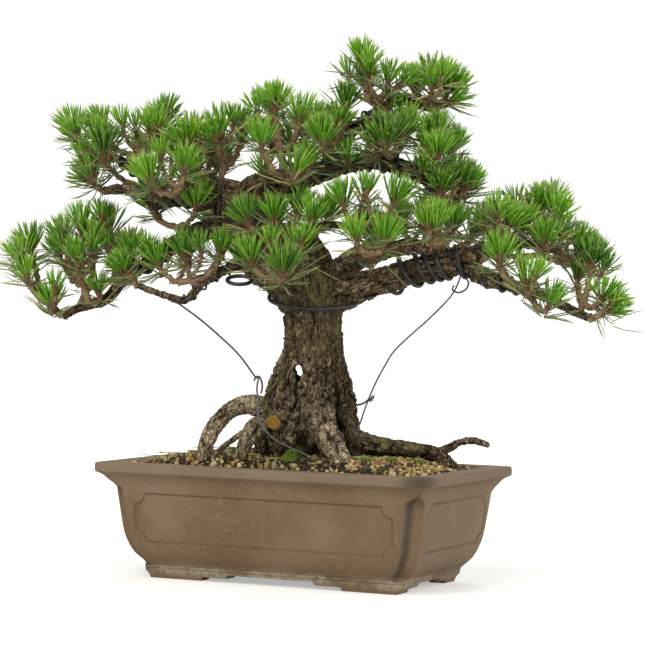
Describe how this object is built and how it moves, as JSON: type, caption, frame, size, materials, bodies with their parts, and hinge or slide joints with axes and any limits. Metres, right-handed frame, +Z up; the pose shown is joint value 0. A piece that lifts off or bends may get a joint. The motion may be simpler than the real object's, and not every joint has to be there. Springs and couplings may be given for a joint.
{
  "type": "japanese black pine bonsai",
  "caption": "Informal upright bonsai pine with a flared corky trunk, wired boughs and tufts of needles, in a rectangular unglazed clay pot that stands on a table.",
  "frame": {"origin": "under the middle of the whole plant's box, on the surface that the pot's feet stand on", "axes": "+Z up, +X along the pot's long side towards the end that the long right bough leans over, +Y to the pot's back"},
  "size_m": [0.5358, 0.2918, 0.4521],
  "materials": {
    "clay": "matte unglazed stoneware",
    "soil": "loose granules",
    "bark": "rough furrowed bark",
    "needles": "satin",
    "wire": "anodised, dark"
  },
  "bodies": {
    "root": {"pot": "clay", "soil": "soil", "trunk": "bark", "root_left": "bark", "root_left_low": "bark", "root_front": "bark", "root_right": "bark", "root_back": "bark", "bough_right": "bark", "bough_right_tip": "bark", "bough_right_top": "bark", "bough_top": "bark", "bough_apex": "bark", "bough_upper_left": "bark", "bough_upper_left_fork": "bark", "bough_lower_left": "bark", "bough_low_left_thin": "bark", "bough_front": "bark", "bough_middle": "bark", "bough_centre": "bark", "bough_back_right": "bark", "bough_back": "bark", "bough_back_left": "bark", "guy_wire_left": "wire", "guy_wire_right": "wire", "ring_wire": "wire", "left_tip": "needles", "left_middle": "needles", "left_back": "needles", "left_inner": "needles", "left_thin": "needles", "upper_left_tip": "needles", "upper_left_top": "needles", "upper_left_front": "needles", "upper_left_inner": "needles", "under_left": "needles", "upper_left_back": "needles", "top_left": "needles", "top_front": "needles", "top_middle": "needles", "top_centre": "needles", "top_back": "needles", "apex": "needles", "apex_right": "needles", "right_upper": "needles", "right_upper_end": "needles", "middle_right": "needles", "middle_inner": "needles", "centre_front": "needles", "centre_right": "needles", "centre_high": "needles", "front_low": "needles", "right_inner": "needles", "right_high": "needles", "right_middle": "needles", "right_low": "needles", "right_tip": "needles", "right_back": "needles", "back_right": "needles", "back_middle": "needles"}
  },
  "joints": []
}
